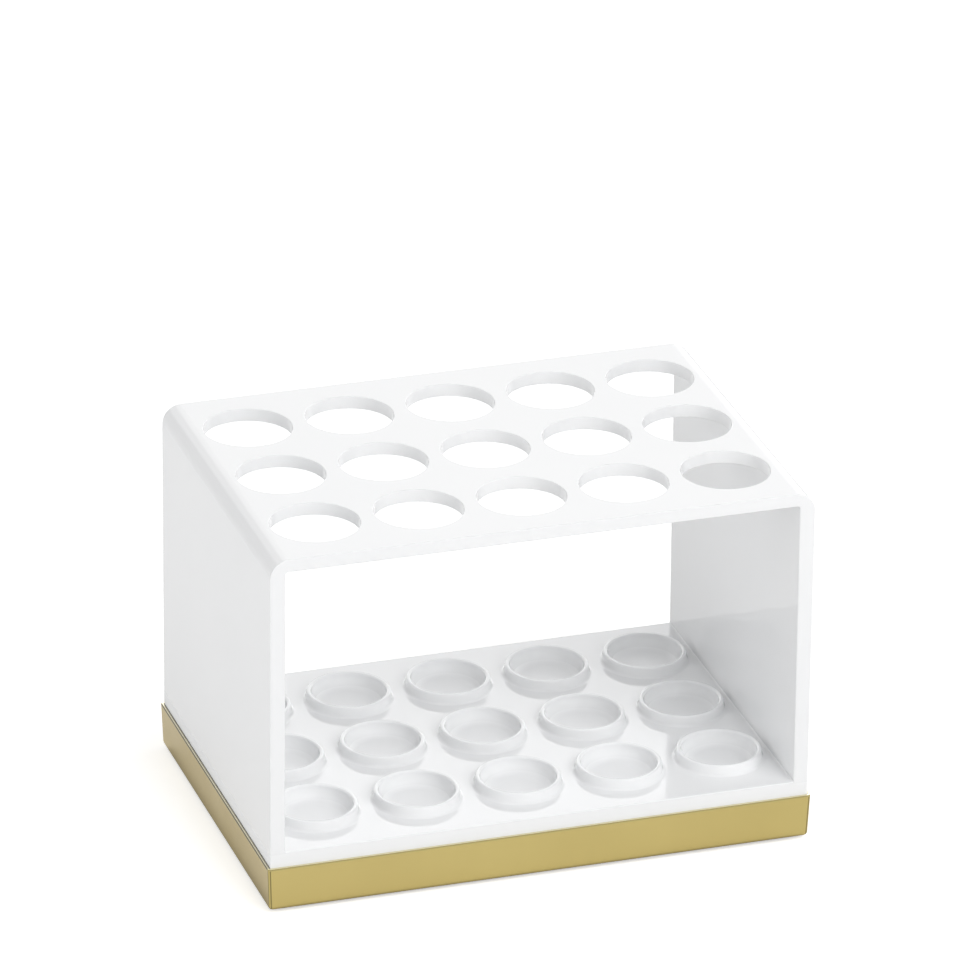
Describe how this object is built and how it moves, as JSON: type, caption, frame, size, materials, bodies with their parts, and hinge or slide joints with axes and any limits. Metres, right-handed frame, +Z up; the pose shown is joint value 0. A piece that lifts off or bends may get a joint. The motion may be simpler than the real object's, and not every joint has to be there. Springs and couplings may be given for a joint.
{
  "type": "brush holder",
  "caption": "Open rectangular stand for cosmetic brushes: a deck of round holes on two side walls, ring cups below, in a shallow metallic tray on soft feet.",
  "frame": {"origin": "on the floor plane, under the centre of the footprint", "axes": "+X along the long side to the right, +Y to the back, +Z up; the long open front faces -Y"},
  "size_m": [0.1576, 0.1082, 0.1068],
  "materials": {
    "white_plastic": "glossy white injection-moulded plastic",
    "gold_finish": "satin gold metallised plastic",
    "soft_feet": "matt pale silicone"
  },
  "bodies": {
    "root": {"brush_frame": "white_plastic", "cup_plate": "white_plastic", "base_tray": "gold_finish", "rear_left_foot": "soft_feet", "rear_right_foot": "soft_feet", "front_left_foot": "soft_feet", "front_right_foot": "soft_feet"}
  },
  "joints": []
}
